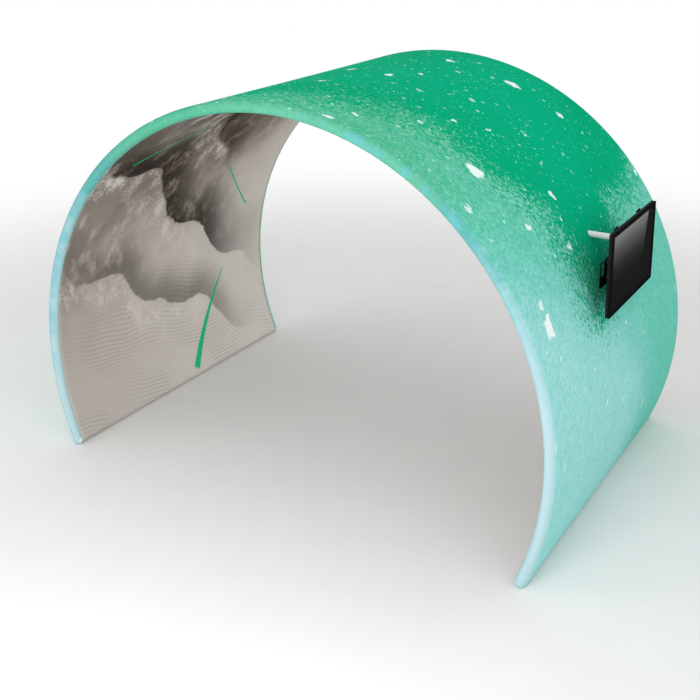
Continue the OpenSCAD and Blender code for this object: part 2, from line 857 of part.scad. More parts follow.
module power_button_place() {
    translate([display_x + (edge_t - bezel_t) / 2, display_w / 2 - 60, display_z - display_h / 2])
        children();
}

module inlet_place() {
    translate([cover_x, rail_gap / 2 - 70, display_z - display_h / 2 + bulge_top + 34]) children();
}

module display_back_cover() {
    vent_step = 11;
    color([0.08, 0.08, 0.09])
        difference() {
            union() {
                difference() {
                    translate([0, 0, display_z]) {
                        plate_at(display_x, edge_t - bezel_t) display_outline(0);
                        plate_at(cover_x, bulge_t + 1) bulge_outline(0);
                    }
                    translate([0, 0, display_z]) {
                        plate_at(display_x + cover_wall, edge_t) display_outline(cover_wall);
                        plate_at(cover_x + cover_wall, bulge_t + 1) bulge_outline(cover_wall);
                        for (side = [-1, 1], i = [0:13])
                            translate([0, side * (30 + i * vent_step), display_h / 2 - bulge_top - 34])
                                plate_at(cover_x - 1, cover_wall + 2) rotate(90) slot(34, 4);
                    }
                    inlet_place() translate([-1, -inlet_w / 2, -inlet_h / 2])
                        cube([cover_wall + 2, inlet_w, inlet_h]);
                }
                vesa_places() bar_x(vesa_r + 3, cover_x + 1, cover_x + 14);
            }
            vesa_places() bar_x(vesa_r + screw_fit, cover_x - 1, cover_x + 12);
            power_button_place() translate([0, 0, -1])
                cylinder(r = power_r + button_fit, h = cover_wall + 2);
        }
}

module display_bezel() {
    front = bezel_x + bezel_t;
    color([0.06, 0.06, 0.07])
        translate([0, 0, display_z])
            difference() {
                plate_at(bezel_x, bezel_t) display_outline(0);
                plate_at(bezel_x - 1, bezel_t + 2)
                    square([display_w - 2 * bezel_w, display_h - 2 * bezel_w], center = true);
                plate_at(bezel_x - 1, front - screen_recess - bezel_x + 1)
                    square([display_w - 2 * (bezel_w - bezel_lap - screen_gap),
                        display_h - 2 * (bezel_w - bezel_lap - screen_gap)], center = true);
            }
}

module display_screen() {
    front = bezel_x + bezel_t - screen_recess - screen_gap;
    color([0.13, 0.13, 0.14])
        translate([0, 0, display_z])
            plate_at(front - screen_t, screen_t)
                square([display_w - 2 * (bezel_w - bezel_lap),
                    display_h - 2 * (bezel_w - bezel_lap)], center = true);
}

module display_power_button() {
    color([0.20, 0.20, 0.21])
        power_button_place() {
            translate([0, 0, -power_rise]) cylinder(r = power_r, h = power_rise + cover_wall + 0.5);
            translate([0, 0, cover_wall + 0.2]) cylinder(r = power_r + 1.5, h = 1.2);
        }
}

// Recessed power inlet with its three blades, held in the back cover's opening
module display_power_inlet() {
    wall = 2;
    depth = 17;
    gap = 0.1;
    color([0.16, 0.16, 0.17])
        inlet_place() {
            difference() {
                translate([0, -inlet_w / 2 + gap, -inlet_h / 2 + gap])
                    cube([depth, inlet_w - 2 * gap, inlet_h - 2 * gap]);
                translate([-1, -inlet_w / 2 + wall, -inlet_h / 2 + wall])
                    cube([depth - wall + 1, inlet_w - 2 * wall, inlet_h - 2 * wall]);
            }
            for (blade = [[-7, -2], [0, 2], [7, -2]])
                translate([3, blade[0] - 1, blade[1] - 2]) cube([depth - 4, 2, 4]);
        }
}

outer_fabric_panel();
inner_fabric_panel();
zipper_tapes();
zipper_teeth();
zipper_slider();
zipper_pull();
hoop_tube(FRONT, 0);  // front_left_lower_tube
hoop_tube(FRONT, 1);  // front_left_upper_tube
hoop_tube(FRONT, 2);  // front_right_upper_tube
hoop_tube(FRONT, 3);  // front_right_lower_tube
hoop_tube(BACK, 0);  // back_left_lower_tube
hoop_tube(BACK, 1);  // back_left_upper_tube
hoop_tube(BACK, 2);  // back_right_upper_tube
hoop_tube(BACK, 3);  // back_right_lower_tube
cross_tube(0);  // left_base_tube
cross_tube(1);  // left_cross_tube
cross_tube(2);  // top_cross_tube
cross_tube(3);  // right_cross_tube
cross_tube(4);  // right_base_tube
corner(0, FRONT);  // front_left_corner
tee(1, FRONT);  // front_left_tee
tee(2, FRONT);  // front_top_tee
tee(3, FRONT);  // front_right_tee
corner(4, FRONT);  // front_right_corner
corner(0, BACK);  // back_left_corner
tee(1, BACK);  // back_left_tee
tee(2, BACK);  // back_top_tee
tee(3, BACK);  // back_right_tee
corner(4, BACK);  // back_right_corner
snap_button(0, FRONT);  // front_left_base_button
snap_button(1, FRONT);  // front_left_side_button
snap_button(2, FRONT);  // front_top_button
snap_button(3, FRONT);  // front_right_side_button
snap_button(4, FRONT);  // front_right_base_button
snap_button(0, BACK);  // back_left_base_button
snap_button(1, BACK);  // back_left_side_button
snap_button(2, BACK);  // back_top_button
snap_button(3, BACK);  // back_right_side_button
snap_button(4, BACK);  // back_right_base_button
frame_screws();
arm_anchor_block();
arm_stud();
mount_arm();
adaptor_plate();
adaptor_bolts();
wall_plate();
hook_bracket(FRONT);  // front_hook_bracket
hook_bracket(BACK);  // back_hook_bracket
tilt_rail(FRONT);  // front_tilt_rail
tilt_rail(BACK);  // back_tilt_rail
tilt_pivot_bolts();
tilt_knob(FRONT);  // front_tilt_knob
tilt_knob(BACK);  // back_tilt_knob
vesa_screws();
display_back_cover();
display_bezel();
display_screen();
display_power_button();
display_power_inlet();
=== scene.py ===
"""Looks of the fabric display arch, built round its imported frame.

X runs across the arch, Y from the front hoop to the back hoop, Z up, all in metres.
The two fabric panels, the piping along their seams, the binding round the arm's hole and
the zipper's teeth are built here. The wall plate is a copy of its node with windows cut in
it, and every other piece is the frame's own node with a material of its own.
"""

import math

import bmesh
import bpy
import numpy as np
from mathutils import Matrix, Vector


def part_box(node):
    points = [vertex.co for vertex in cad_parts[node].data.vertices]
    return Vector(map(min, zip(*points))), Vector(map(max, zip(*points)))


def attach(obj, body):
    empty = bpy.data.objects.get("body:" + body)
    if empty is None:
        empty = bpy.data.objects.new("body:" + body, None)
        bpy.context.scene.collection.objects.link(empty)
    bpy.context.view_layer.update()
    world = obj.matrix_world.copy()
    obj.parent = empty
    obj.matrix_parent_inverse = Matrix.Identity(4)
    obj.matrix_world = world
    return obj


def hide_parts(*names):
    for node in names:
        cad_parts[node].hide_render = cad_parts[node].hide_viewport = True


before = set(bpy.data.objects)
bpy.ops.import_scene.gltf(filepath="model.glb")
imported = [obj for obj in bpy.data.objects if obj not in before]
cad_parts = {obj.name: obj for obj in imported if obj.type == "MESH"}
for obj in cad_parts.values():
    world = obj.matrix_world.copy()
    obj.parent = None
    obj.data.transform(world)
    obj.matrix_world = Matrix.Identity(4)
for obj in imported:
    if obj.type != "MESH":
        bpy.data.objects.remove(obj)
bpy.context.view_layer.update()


def centre(node):
    low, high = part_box(node)
    return (low + high) / 2


# Sizes of the arch, worked out from the frame's own nodes

FABRIC = 0.001  # thickness of the fabric
FABRIC_GAP = 0.00035  # between the fabric and the tubes

crown = centre("top_cross_tube")
foot = centre("right_base_tube")
elbow = centre("right_cross_tube")
TUBE_R = (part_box("top_cross_tube")[1].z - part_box("top_cross_tube")[0].z) / 2
FOOT_ANGLE = 2 * math.atan2(crown.z - foot.z, foot.x)  # from the crown down to a foot
HOOP_R = foot.x / math.sin(FOOT_ANGLE)
HOOP_Z = crown.z - HOOP_R
SIDE_ANGLE = math.atan2(elbow.x, elbow.z - HOOP_Z)
HOOP_Y = -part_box("front_top_tee")[0].y - TUBE_R
WRAP_R = TUBE_R + FABRIC_GAP + FABRIC / 2  # the fabric's middle, round a tube
OUTER_R = HOOP_R + WRAP_R
INNER_R = HOOP_R - WRAP_R
FOOT_RUN = OUTER_R * FOOT_ANGLE  # along the outer face from the crown to a foot

# Fabric shape

BOW = 0.004  # how far a panel bows towards the arch's centre between its tubes
ROW_STEP = 0.03
COLUMN_STEP = 0.03
RIM_STEPS = 16  # round half a tube
WRAP_STEPS = 16  # round a base tube
WELD = 2e-6  # points nearer than this are one


def smoothstep(low, high, x):
    t = np.clip((np.asarray(x, float) - low) / (high - low), 0, 1)
    return t * t * (3 - 2 * t)


def new_object(name, data):
    made = bpy.data.objects.new(name, data)
    bpy.context.scene.collection.objects.link(made)
    return made


def mesh_piece(name, points, faces, flat=None, smooth=True):
    """A mesh with its cut-flat coordinates kept as the attribute "flat"."""
    mesh = bpy.data.meshes.new(name)
    mesh.from_pydata([tuple(p) for p in points], [], faces)
    if flat is not None:
        attribute = mesh.attributes.new("flat", "FLOAT_VECTOR", "POINT")
        values = np.zeros((len(points), 3), np.float32)
        values[:, :2] = flat
        attribute.data.foreach_set("vector", values.ravel())
    mesh.polygons.foreach_set("use_smooth", [smooth] * len(mesh.polygons))
    mesh.update()
    return new_object(name, mesh)


def weld(piece):
    """Joins the points that two patches share, and turns every face outwards."""
    work = bmesh.new()
    work.from_mesh(piece.data)
    bmesh.ops.remove_doubles(work, verts=work.verts, dist=WELD)
    bmesh.ops.recalc_face_normals(work, faces=work.faces)
    work.to_mesh(piece.data)
    work.free()
    piece.data.update()


CUBE = np.array([(x, y, z) for x in (0, 1) for y in (0, 1) for z in (0, 1)], float)
CUBE_SIDES = ((0, 1, 3, 2), (4, 6, 7, 5), (0, 4, 5, 1), (2, 3, 7, 6), (0, 2, 6, 4), (1, 5, 7, 3))


def box_pieces(name, boxes):
    """One mesh of flat-sided boxes, each given by its corners in the order of CUBE."""
    faces = [tuple(8 * k + i for i in side) for k in range(len(boxes)) for side in CUBE_SIDES]
    return mesh_piece(name, np.concatenate(boxes), faces, smooth=False)


def thicken(piece, thickness):
    solid = piece.modifiers.new("thickness", "SOLIDIFY")
    solid.thickness = thickness
    solid.offset = 0
    solid.use_even_offset = True


class Grid:
    """Points and faces that are collected patch by patch."""

    def __init__(self):
        self.points, self.flat, self.faces = [], [], []

    def add(self, points, flat, wanted=None):
        """A rectangular patch. Its arrays are rows x columns; wanted says which cells it keeps."""
        rows, columns = points.shape[:2]
        first = len(self.points)
        self.points += list(points.reshape(-1, 3))
        self.flat += list(flat.reshape(-1, 2))
        for i in range(rows - 1):
            for j in range(columns - 1):
                if wanted is None or wanted(i, j):
                    a = first + i * columns + j
                    self.faces.append((a, a + 1, a + columns + 1, a + columns))

    def ring(self, points, flat):
        """A patch whose last column joins its first."""
        closed = np.concatenate([points, points[:, :1]], axis=1)
        self.add(closed, np.concatenate([flat, flat[:, :1]], axis=1))

    def piece(self, name):
        made = mesh_piece(name, self.points, self.faces, np.array(self.flat))
        weld(made)
        return made


def on_wall(angle, radius, y):
    """Points at an angle from the crown and a distance from the hoops' axis."""
    angle, radius, y = np.broadcast_arrays(angle, radius, y)
    x = radius * np.sin(angle)
    z = HOOP_Z + radius * np.cos(angle)
    return np.stack([x, y, z], axis=-1)


def outwards(angle):
    """Unit vectors away from the hoops' axis."""
    return np.stack([np.sin(angle), 0 * angle, np.cos(angle)], axis=-1)


def outer_bow(angle, y):
    """The outer face bows in a little between the cross tubes, and lies on each of them."""
    bays = np.array([-FOOT_ANGLE, -SIDE_ANGLE, 0, SIDE_ANGLE, FOOT_ANGLE])
    place = np.interp(np.asarray(angle, float), bays, np.arange(5))
    return -BOW * (1 - (y / HOOP_Y) ** 2) * np.sin(np.pi * place) ** 2


def inner_bow(angle, y):
    """The inner face stands off the cross tubes, and is held flat at the feet."""
    to_foot = (FOOT_ANGLE - np.abs(angle)) * INNER_R
    return -BOW * (1 - (y / HOOP_Y) ** 2) * smoothstep(0.1, 0.6, to_foot)


# Outer panel: outer face, both rims, and a wrap round each base tube

ARM_Z = centre("arm_stud").z
ARM_R = 0.0175
ARM_HOLE_GAP = 0.0008
HOLE_BLOCK = 4  # cells on each side of the arm's hole that its own rings take up
HOLE_RINGS = 8
RING_SPREAD = 1.5  # above 1, the rings lie closer together near the hole
PUCKERS = 9
PUCKER_DEPTH = 0.0007
PUCKER_FADE = 5

hole_angle = math.acos((ARM_Z - HOOP_Z) / OUTER_R)

outer_rows = np.linspace(-FOOT_ANGLE, FOOT_ANGLE, int(2 * FOOT_RUN / ROW_STEP) + 1)
hole_row = int(np.argmin(abs(outer_rows - hole_angle)))
outer_rows[hole_row] = hole_angle
straight = np.linspace(-HOOP_Y, HOOP_Y, 2 * int(HOOP_Y / COLUMN_STEP) + 1)
hole_column = len(straight) // 2
turns = np.linspace(0, math.pi, RIM_STEPS + 1)


def outer_face(angle, y):
    return on_wall(angle, OUTER_R + outer_bow(angle, y), y)


def in_hole_block(i, j):
    return (
        hole_row - HOLE_BLOCK <= i < hole_row + HOLE_BLOCK
        and hole_column - HOLE_BLOCK <= j < hole_column + HOLE_BLOCK
    )


def flat_outer(angle, across):
    angle, across = np.broadcast_arrays(angle * OUTER_R, across)
    return np.stack([angle, across], axis=-1)


def add_outer_face(grid):
    rows, columns = outer_rows[:, None], straight[None, :]
    grid.add(outer_face(rows, columns), flat_outer(rows, columns), lambda i, j: not in_hole_block(i, j))


def add_rims(grid):
    for side in (-1, 1):
        radius = HOOP_R + WRAP_R * np.cos(turns)[None, :]
        y = side * (HOOP_Y + WRAP_R * np.sin(turns))[None, :]
        across = side * (HOOP_Y + WRAP_R * turns)[None, :]
        grid.add(on_wall(outer_rows[:, None], radius, y), flat_outer(outer_rows[:, None], across))


def round_foot(way, around, y, reach=1.0):
    """Points round a base tube, counted in turn from the outer face by way of the floor."""
    out = np.array([way * math.sin(FOOT_ANGLE), 0, math.cos(FOOT_ANGLE)])
    down = np.array([way * math.cos(FOOT_ANGLE), 0, -math.sin(FOOT_ANGLE)])
    spoke = np.cos(around)[..., None] * out + np.sin(around)[..., None] * down
    points = np.array([way * foot.x, 0, foot.z]) + WRAP_R * np.asarray(reach)[..., None] * spoke
    points[..., 1] = y
    points[..., 2] = np.maximum(points[..., 2], FABRIC / 2)
    return points


def add_foot_wraps(grid):
    """A quarter turn round each base tube down to the seam, with a quarter ball at each end of the tube."""
    quarter = np.linspace(0, math.pi / 2, WRAP_STEPS // 2 + 1)[:, None]
    around = np.linspace(0, math.pi, WRAP_STEPS + 1)[:, None]
    dome = np.linspace(0, math.pi / 2, RIM_STEPS // 2 + 1)[None, :]
    for way in (-1, 1):
        turn, y = np.broadcast_arrays(quarter, straight[None, :])
        grid.add(round_foot(way, turn, y), np.stack([way * (FOOT_RUN + WRAP_R * turn), y], axis=-1))
        for end in (-1, 1):
            turn, lift = np.broadcast_arrays(around, dome)
            y = end * (HOOP_Y + WRAP_R * np.sin(lift))
            across = end * (HOOP_Y + WRAP_R * lift)
            flat = np.stack([way * (FOOT_RUN + WRAP_R * turn), across], axis=-1)
            grid.add(round_foot(way, turn, y, np.cos(lift)), flat)


def add_arm_hole(grid):
    """Rings from the edge of the hole to the block of cells that they stand in."""
    n = HOLE_BLOCK
    side, low, high = np.arange(-n, n), np.full(2 * n, -n), np.full(2 * n, n)
    edge_angle = outer_rows[hole_row + np.concatenate([low, side, high, -side])]
    edge_y = straight[hole_column + np.concatenate([side, high, -side, low])]
    turn = np.arctan2((hole_angle - edge_angle) * OUTER_R, edge_y)
    hole = ARM_R + ARM_HOLE_GAP
    hole_y = hole * np.cos(turn)
    hole_at = np.arccos((ARM_Z + hole * np.sin(turn) - HOOP_Z) / OUTER_R)
    share = np.linspace(0, 1, HOLE_RINGS + 1)[:, None] ** RING_SPREAD
    angle = hole_at + (edge_angle - hole_at) * share
    y = hole_y + (edge_y - hole_y) * share
    fade = np.exp(-PUCKER_FADE * share) * smoothstep(0, 0.12, share) * smoothstep(1, 0.6, share)
    lift = PUCKER_DEPTH * np.cos(PUCKERS * turn)[None, :] * fade
    grid.ring(outer_face(angle, y) + lift[..., None] * outwards(angle), flat_outer(angle, y))


outer_grid = Grid()
add_outer_face(outer_grid)
add_rims(outer_grid)
add_foot_wraps(outer_grid)
add_arm_hole(outer_grid)
outer_panel = outer_grid.piece("outer_fabric")
thicken(outer_panel, FABRIC)

# Inner panel, with the slit that the zipper closes

ZIP_UP = 0.054  # from the foot's centre up the wall to the zipper
SLIT_HALF = 0.004
CLEAR_ANGLE = 0.006  # rows nearer than this to the slit make way for its own, and columns too
CLEAR_Y = 0.01
teeth_low, teeth_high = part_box("zipper_teeth")
ZIP_HALF = teeth_high.y
ZIP_FACE_R = HOOP_R - TUBE_R - FABRIC_GAP
zip_angle = FOOT_ANGLE - ZIP_UP / ZIP_FACE_R

inner_rows = np.linspace(-FOOT_ANGLE, FOOT_ANGLE, int(2 * FOOT_ANGLE * INNER_R / ROW_STEP) + 1)
slit_rows = zip_angle + np.array([-1, 1]) * SLIT_HALF / ZIP_FACE_R
inner_rows = inner_rows[abs(inner_rows - zip_angle) > CLEAR_ANGLE]
inner_rows = np.sort(np.concatenate([inner_rows, slit_rows]))
slit_row = int(np.argmin(abs(inner_rows - slit_rows[0])))
inner_columns = straight[abs(abs(straight) - ZIP_HALF) > CLEAR_Y]
inner_columns = np.sort(np.concatenate([inner_columns, [-ZIP_HALF, ZIP_HALF]]))


def in_slit(i, j):
    return i == slit_row and abs(inner_columns[j] + inner_columns[j + 1]) < 2 * ZIP_HALF


def add_inner_feet(grid):
    """From the foot of each wall a quarter turn round its base tube, to the seam under it."""
    around = np.linspace(math.pi, math.pi / 2, WRAP_STEPS // 2 + 1)[:, None]
    for way in (-1, 1):
        turn, y = np.broadcast_arrays(around, inner_columns[None, :])
        run = way * (FOOT_ANGLE * INNER_R + WRAP_R * (math.pi - turn))
        grid.add(round_foot(way, turn, y), np.stack([run, y], axis=-1))


def add_inner_face(grid):
    rows, columns = np.broadcast_arrays(inner_rows[:, None], inner_columns[None, :])
    points = on_wall(rows, INNER_R + inner_bow(rows, columns), columns)
    grid.add(points, np.stack([rows * INNER_R, columns], axis=-1), lambda i, j: not in_slit(i, j))


inner_grid = Grid()
add_inner_face(inner_grid)
add_inner_feet(inner_grid)
inner_panel = inner_grid.piece("inner_fabric")
thicken(inner_panel, FABRIC)

# Piping along the seams where the two panels meet, and a sewn binding round the arm's hole

PIPING_R = 0.0016
PIPING_STEPS = 400
BINDING_W = 0.006
BINDING_T = 0.0009
BINDING_STEPS = 72


def tube_along(name, path, up, radius, sides=8, closed=False, squash=1.0):
    """A round or flattened cord of thread along a path, with its length as its flat coordinate."""
    path = np.asarray(path, float)
    step = np.roll(path, -1, 0) - path if closed else np.gradient(path, axis=0)
    step /= np.linalg.norm(step, axis=1)[:, None]
    across = np.cross(step, up)
    across /= np.linalg.norm(across, axis=1)[:, None]
    turn = np.linspace(0, 2 * np.pi, sides, endpoint=False)
    offset = (
        np.cos(turn)[None, :, None] * across[:, None, :] * radius
        + np.sin(turn)[None, :, None] * up[:, None, :] * radius * squash
    )
    points = path[:, None, :] + offset
    run = np.concatenate([[0], np.cumsum(np.linalg.norm(np.diff(path, axis=0), axis=1))])
    flat = np.stack(np.broadcast_arrays(run[:, None], radius * turn[None, :]), axis=-1)
    if closed:
        points = np.concatenate([points, points[:1]])
        flat = np.concatenate([flat, flat[:1]])
    grid = Grid()
    grid.ring(points, flat)
    return grid.piece(name)


def seam_piping(name, y):
    """Along the inner panel's edge, and round both base tubes to the seam."""
    angle = np.linspace(-FOOT_ANGLE, FOOT_ANGLE, PIPING_STEPS)
    bend = np.linspace(math.pi, math.pi / 2, WRAP_STEPS // 2)[1:]
    path, away = on_wall(angle, INNER_R, y), outwards(angle)
    for way in (-1, 1):
        curl = round_foot(way, bend, y)
        middle = np.array([way * foot.x, y, foot.z])
        out = (middle - curl) / WRAP_R
        out /= np.linalg.norm(out, axis=1)[:, None]
        if way > 0:
            path, away = np.concatenate([path, curl]), np.concatenate([away, out])
        else:
            path, away = np.concatenate([curl[::-1], path]), np.concatenate([out[::-1], away])
    return tube_along(name, path, away, PIPING_R)


def arm_hole_binding():
    turn = np.linspace(0, 2 * np.pi, BINDING_STEPS, endpoint=False)
    reach = ARM_R + ARM_HOLE_GAP + BINDING_W / 2
    z = ARM_Z + reach * np.sin(turn)
    angle = np.arccos((z - HOOP_Z) / OUTER_R)
    y = reach * np.cos(turn)
    path = on_wall(angle, OUTER_R + FABRIC / 2, y)
    squash = 2 * BINDING_T / BINDING_W
    return tube_along("arm_hole_binding", path, outwards(angle), BINDING_W / 2, 12, True, squash)


front_piping = seam_piping("front_seam_piping", -HOOP_Y)
back_piping = seam_piping("back_seam_piping", HOOP_Y)
hole_binding = arm_hole_binding()

# Zipper teeth, one by one in two rows that mesh

TOOTH_PITCH = 0.003
TOOTH = np.array([0.0031, 0.0014, 0.0024])  # across the zipper, along it, and off the wall
TOOTH_TAPER = 0.72  # of its size on the side where the rows mesh
ROW_OFF = 0.0013  # from the zipper's middle to the middle of a row


def zipper_teeth():
    count = int((teeth_high.y - teeth_low.y) / TOOTH_PITCH)
    down = np.array([math.cos(zip_angle), 0, -math.sin(zip_angle)])
    axes = np.array([down, [0, 1, 0], outwards(zip_angle)])
    boxes = []
    for k in range(count):
        for row in (-1, 1):
            local = (CUBE - 0.5) * TOOTH
            local[local[:, 0] * row < 0, 1:] *= TOOTH_TAPER
            at = np.array((teeth_low + teeth_high) / 2) + row * ROW_OFF * down
            at[1] = teeth_low.y + (k + 0.5 + 0.25 * row) * TOOTH_PITCH
            boxes.append(at + local @ axes)
    return box_pieces("zipper_teeth_rows", boxes)


teeth_rows = zipper_teeth()

# The wall plate with an upper and a lower window in each end, where it shows past the display

WINDOWS_Y = (0.254, 0.304)  # from the plate's middle, as the heights are
WINDOWS_Z = ((0.0275, 0.061), (-0.0135, 0.0227))  # bottom and top of each window
CUT_PAST = 0.01  # how far the cutter stands out of the plate


def wall_plate_windows():
    low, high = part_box("wall_plate")
    middle = (low + high) / 2
    boxes = []
    for side in (-1, 1):
        near, far = (middle.y + side * y for y in WINDOWS_Y)
        for bottom, top in WINDOWS_Z:
            start = np.array([low.x - CUT_PAST, near, middle.z + bottom])
            end = np.array([high.x + CUT_PAST, far, middle.z + top])
            boxes.append(start + CUBE * (end - start))
    cutter = box_pieces("plate_windows", boxes)
    weld(cutter)
    plate = new_object("windowed_wall_plate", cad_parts["wall_plate"].data.copy())
    cut = plate.modifiers.new("windows", "BOOLEAN")
    cut.operation, cut.solver, cut.object = "DIFFERENCE", "EXACT", cutter
    shape = plate.evaluated_get(bpy.context.evaluated_depsgraph_get())
    plate.data = bpy.data.meshes.new_from_object(shape)
    plate.modifiers.clear()
    bpy.data.objects.remove(cutter)
    return plate


windowed_plate = wall_plate_windows()

# Materials

KNIT = 260.0  # scale of the knit's two waves
FLECK_TURN = 0.4  # the flecks stretch along this angle, in radians
STITCH = 0.005  # from the start of one stitch to the next
STITCH_SHARE = 0.62  # of that length
STITCH_WIDTH = 0.0012


class Nodes:
    """Short ways to add shader nodes to a tree. Each gives back the new node's result."""

    def __init__(self, tree):
        self.tree = tree
        tree.nodes.clear()

    def put(self, socket, value):
        if isinstance(value, bpy.types.NodeSocket):
            self.tree.links.new(value, socket)
        elif value is not None:
            socket.default_value = value

    def node(self, kind, **settings):
        made = self.tree.nodes.new("ShaderNode" + kind)
        for name, value in settings.items():
            setattr(made, name, value)
        return made

    def blended(self, share, a, b):
        """Two shaders, or two backgrounds, mixed by a share."""
        made = self.node("MixShader")
        for socket, value in zip(made.inputs, (share, a, b)):
            self.put(socket, value)
        return made.outputs[0]

    def math(self, operation, a, b=None, c=None):
        made = self.node("Math", operation=operation)
        for socket, value in zip(made.inputs, (a, b, c)):
            self.put(socket, value)
        return made.outputs[0]

    def times(self, first, *others):
        for other in others:
            first = self.math("MULTIPLY", first, other)
        return first

    def line(self, value, slope, start):
        """slope * value + start"""
        return self.math("MULTIPLY_ADD", value, slope, start)

    def step(self, value, low, high, to_low=0.0, to_high=1.0):
        """A smooth step from to_low, where value is low, to to_high, where it is high."""
        made = self.node("MapRange", interpolation_type="SMOOTHSTEP")
        for socket, given in zip(made.inputs, (value, low, high, to_low, to_high)):
            self.put(socket, given)
        return made.outputs[0]

    def mix(self, share, a, b):
        made = self.node("Mix", data_type="RGBA")
        self.put(made.inputs[0], share)
        self.put(made.inputs[6], a)
        self.put(made.inputs[7], b)
        return made.outputs[2]

    def ramp(self, value, stops):
        made = self.node("ValToRGB")
        points = made.color_ramp.elements
        while len(points) < len(stops):
            points.new(0.5)
        for point, (place, colour) in zip(points, stops):
            point.position, point.color = place, colour
        self.put(made.inputs[0], value)
        return made.outputs[0]

    def flat(self):
        """The cut-flat coordinates: X along the arch from its crown, Y across it."""
        return self.node("Attribute", attribute_name="flat").outputs["Vector"]

    def place(self):
        return self.node("TexCoord").outputs["Object"]

    def split(self, vector):
        made = self.node("SeparateXYZ")
        self.put(made.inputs[0], vector)
        return made.outputs

    def join(self, x, y):
        made = self.node("CombineXYZ")
        self.put(made.inputs[0], x)
        self.put(made.inputs[1], y)
        return made.outputs[0]

    def moved(self, vector, scale=(1, 1, 1), turn=0.0, shift=(0, 0, 0)):
        made = self.node("Mapping")
        self.put(made.inputs[0], vector)
        made.inputs["Location"].default_value = shift
        made.inputs["Rotation"].default_value = (0, 0, turn)
        made.inputs["Scale"].default_value = scale
        return made.outputs[0]

    def noise(self, vector, scale, detail=2.0, roughness=0.5, distortion=0.0):
        made = self.node("TexNoise")
        self.put(made.inputs["Vector"], vector)
        made.inputs["Scale"].default_value = scale
        made.inputs["Detail"].default_value = detail
        made.inputs["Roughness"].default_value = roughness
        made.inputs["Distortion"].default_value = distortion
        return made.outputs["Fac"]

    def wave(self, vector, direction, scale):
        made = self.node("TexWave", wave_type="BANDS", bands_direction=direction)
        self.put(made.inputs["Vector"], vector)
        made.inputs["Scale"].default_value = scale
        return made.outputs["Fac"]

    def bump(self, height, distance, strength, on_top_of=None):
        made = self.node("Bump")
        made.inputs["Strength"].default_value = strength
        made.inputs["Distance"].default_value = distance
        self.put(made.inputs["Height"], height)
        self.put(made.inputs["Normal"], on_top_of)
        return made.outputs[0]

    def pushed(self, vector, scale, amount):
        """Places moved about by up to the amount, which makes the outlines on them ragged."""
        made = self.node("TexNoise")
        self.put(made.inputs["Vector"], vector)
        made.inputs["Scale"].default_value = scale
        made.inputs["Detail"].default_value = 3.0
        push = self.node("VectorMath", operation="MULTIPLY_ADD")
        self.put(push.inputs[0], made.outputs["Color"])
        push.inputs[1].default_value = (2 * amount, 2 * amount, 0)
        push.inputs[2].default_value = (-amount, -amount, 0)
        both = self.node("VectorMath", operation="ADD")
        self.put(both.inputs[0], vector)
        self.put(both.inputs[1], push.outputs[0])
        return both.outputs[0]

    def flecks(self, vector, spacing, size, share, shift, ragged, stretch, soft):
        """Scattered ragged flecks: size is the largest radius, share how many cells have a fleck."""
        placed = self.pushed(vector, 0.7 / size, ragged * size)
        made = self.node("TexVoronoi", voronoi_dimensions="2D")
        self.put(made.inputs["Vector"], self.moved(placed, (1 / stretch, 1, 1), FLECK_TURN, shift))
        made.inputs["Scale"].default_value = 1 / spacing
        pick = self.node("SeparateColor")
        self.put(pick.inputs[0], made.outputs["Color"])
        radius = self.line(pick.outputs[1], 0.6 * size / spacing, 0.4 * size / spacing)
        shape = self.step(made.outputs["Distance"], radius, self.times(radius, 1 - soft))
        chosen = self.math("LESS_THAN", pick.outputs[0], share)
        return self.times(shape, chosen, self.line(pick.outputs[2], 0.5, 0.5))


class Look(Nodes):
    """A procedural material."""

    def __init__(self, name):
        self.material = bpy.data.materials.new(name)
        self.material.use_nodes = True
        super().__init__(self.material.node_tree)
        self.output = self.node("OutputMaterial")
        self.shader = self.node("BsdfPrincipled")
        self.put(self.output.inputs[0], self.shader.outputs[0])

    def surface(self, **values):
        for name, value in values.items():
            self.put(self.shader.inputs[name.replace("_", " ")], value)

    def cloth(self, colour, flat):
        """Matt fabric: fine knit, and the soft unevenness of cloth that is held stretched."""
        knit = self.times(self.wave(flat, "X", KNIT), self.wave(flat, "Y", KNIT))
        broad = self.noise(self.moved(flat, (0.5, 1.6, 1)), 2.2, 1.0)
        relief = self.bump(broad, 0.01, 0.35, self.bump(knit, 0.00012, 0.5))
        self.surface(Base_Color=colour, Roughness=0.9, Specular_IOR_Level=0.02, Normal=relief)


def srgb(r, g, b):
    """A colour given as it shows, 0 to 255, in the linear values that a shader takes."""

    def linear(c):
        c /= 255
        return c / 12.92 if c <= 0.04045 else ((c + 0.055) / 1.055) ** 2.4

    return (linear(r), linear(g), linear(b), 1.0)


def shaded(colour, factor):
    return tuple(factor * c for c in colour[:3]) + (1,)


def stitches(look, run, across, at):
    """1 on a row of stitches that runs along the flat coordinate across = at."""
    near = look.math("LESS_THAN", look.math("ABSOLUTE", look.math("SUBTRACT", across, at)), STITCH_WIDTH / 2)
    beat = look.math("FRACT", look.math("DIVIDE", run, STITCH))
    return look.times(near, look.math("LESS_THAN", beat, STITCH_SHARE))


def sewn(look, colour, run, across, side_row, foot_rows, thread_colour, strength):
    """The colour with a row of stitches along each side of a panel, and rows near both feet."""
    rows = stitches(look, run, look.math("ABSOLUTE", across), side_row)
    for row in foot_rows:
        rows = look.math("MAXIMUM", rows, stitches(look, across, look.math("ABSOLUTE", run), row))
    return look.mix(look.times(rows, strength), colour, thread_colour)


